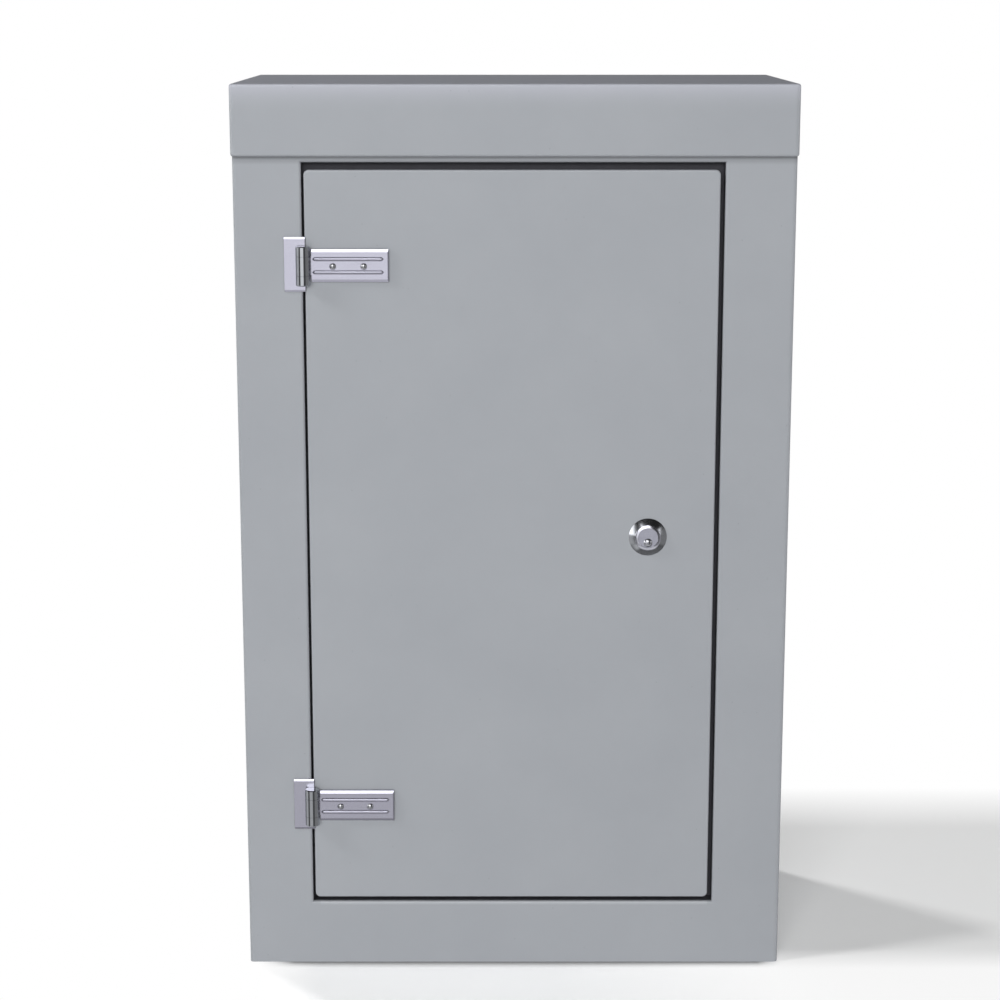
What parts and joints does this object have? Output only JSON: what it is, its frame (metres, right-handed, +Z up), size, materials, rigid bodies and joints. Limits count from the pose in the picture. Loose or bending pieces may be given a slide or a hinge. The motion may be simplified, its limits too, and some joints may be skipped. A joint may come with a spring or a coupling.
{
  "type": "glass-fibre outdoor equipment cabinet with one hinged door",
  "caption": "Free-standing grey glass-fibre outdoor cabinet with a cap roof, a side-hinged door on surface hinges and a round cam lock.",
  "frame": {"origin": "on the ground at the centre of the base, in the middle of the four fixing holes", "axes": "+Z up, +X to the right as seen from the door side, +Y from the door towards the back"},
  "size_m": [0.65, 0.3605, 1.0626],
  "materials": {
    "grp": "semi-gloss grey gelcoat",
    "seal_rubber": "matt black",
    "hinge_steel": "satin stainless",
    "lock_chrome": "polished",
    "lock_zinc": "zinc plated"
  },
  "bodies": {
    "cabinet": {"roof_cap": "grp", "left_side_panel": "grp", "right_side_panel": "grp", "back_panel": "grp", "left_stile": "grp", "right_stile": "grp", "front_header": "grp", "front_sill": "grp", "left_base_flange": "grp", "right_base_flange": "grp", "front_base_flange": "grp", "back_base_flange": "grp", "seal_left": "seal_rubber", "seal_right": "seal_rubber", "seal_top": "seal_rubber", "seal_bottom": "seal_rubber", "upper_hinge_leaf": "hinge_steel", "lower_hinge_leaf": "hinge_steel", "upper_hinge_pin": "hinge_steel", "lower_hinge_pin": "hinge_steel"},
    "door": {"door_skin": "grp", "door_liner": "grp", "upper_hinge_strap": "hinge_steel", "lower_hinge_strap": "hinge_steel", "lock_escutcheon": "lock_chrome", "lock_barrel": "lock_zinc", "lock_nut": "lock_zinc"},
    "lock": {"lock_plug": "lock_chrome", "lock_cam": "lock_zinc", "cam_screw": "lock_zinc"}
  },
  "joints": [
    {"name": "door_hinge", "type": "hinge", "parent": "cabinet", "child": "door", "pos_m": [-0.2433, -0.179, 0.531], "axis": [0, 0, -1], "range_deg": [0, 165]},
    {"name": "lock_turn", "type": "hinge", "parent": "door", "child": "lock", "pos_m": [0.1576, -0.17, 0.5352], "axis": [0, -1, 0], "range_deg": [0, 90]}
  ]
}
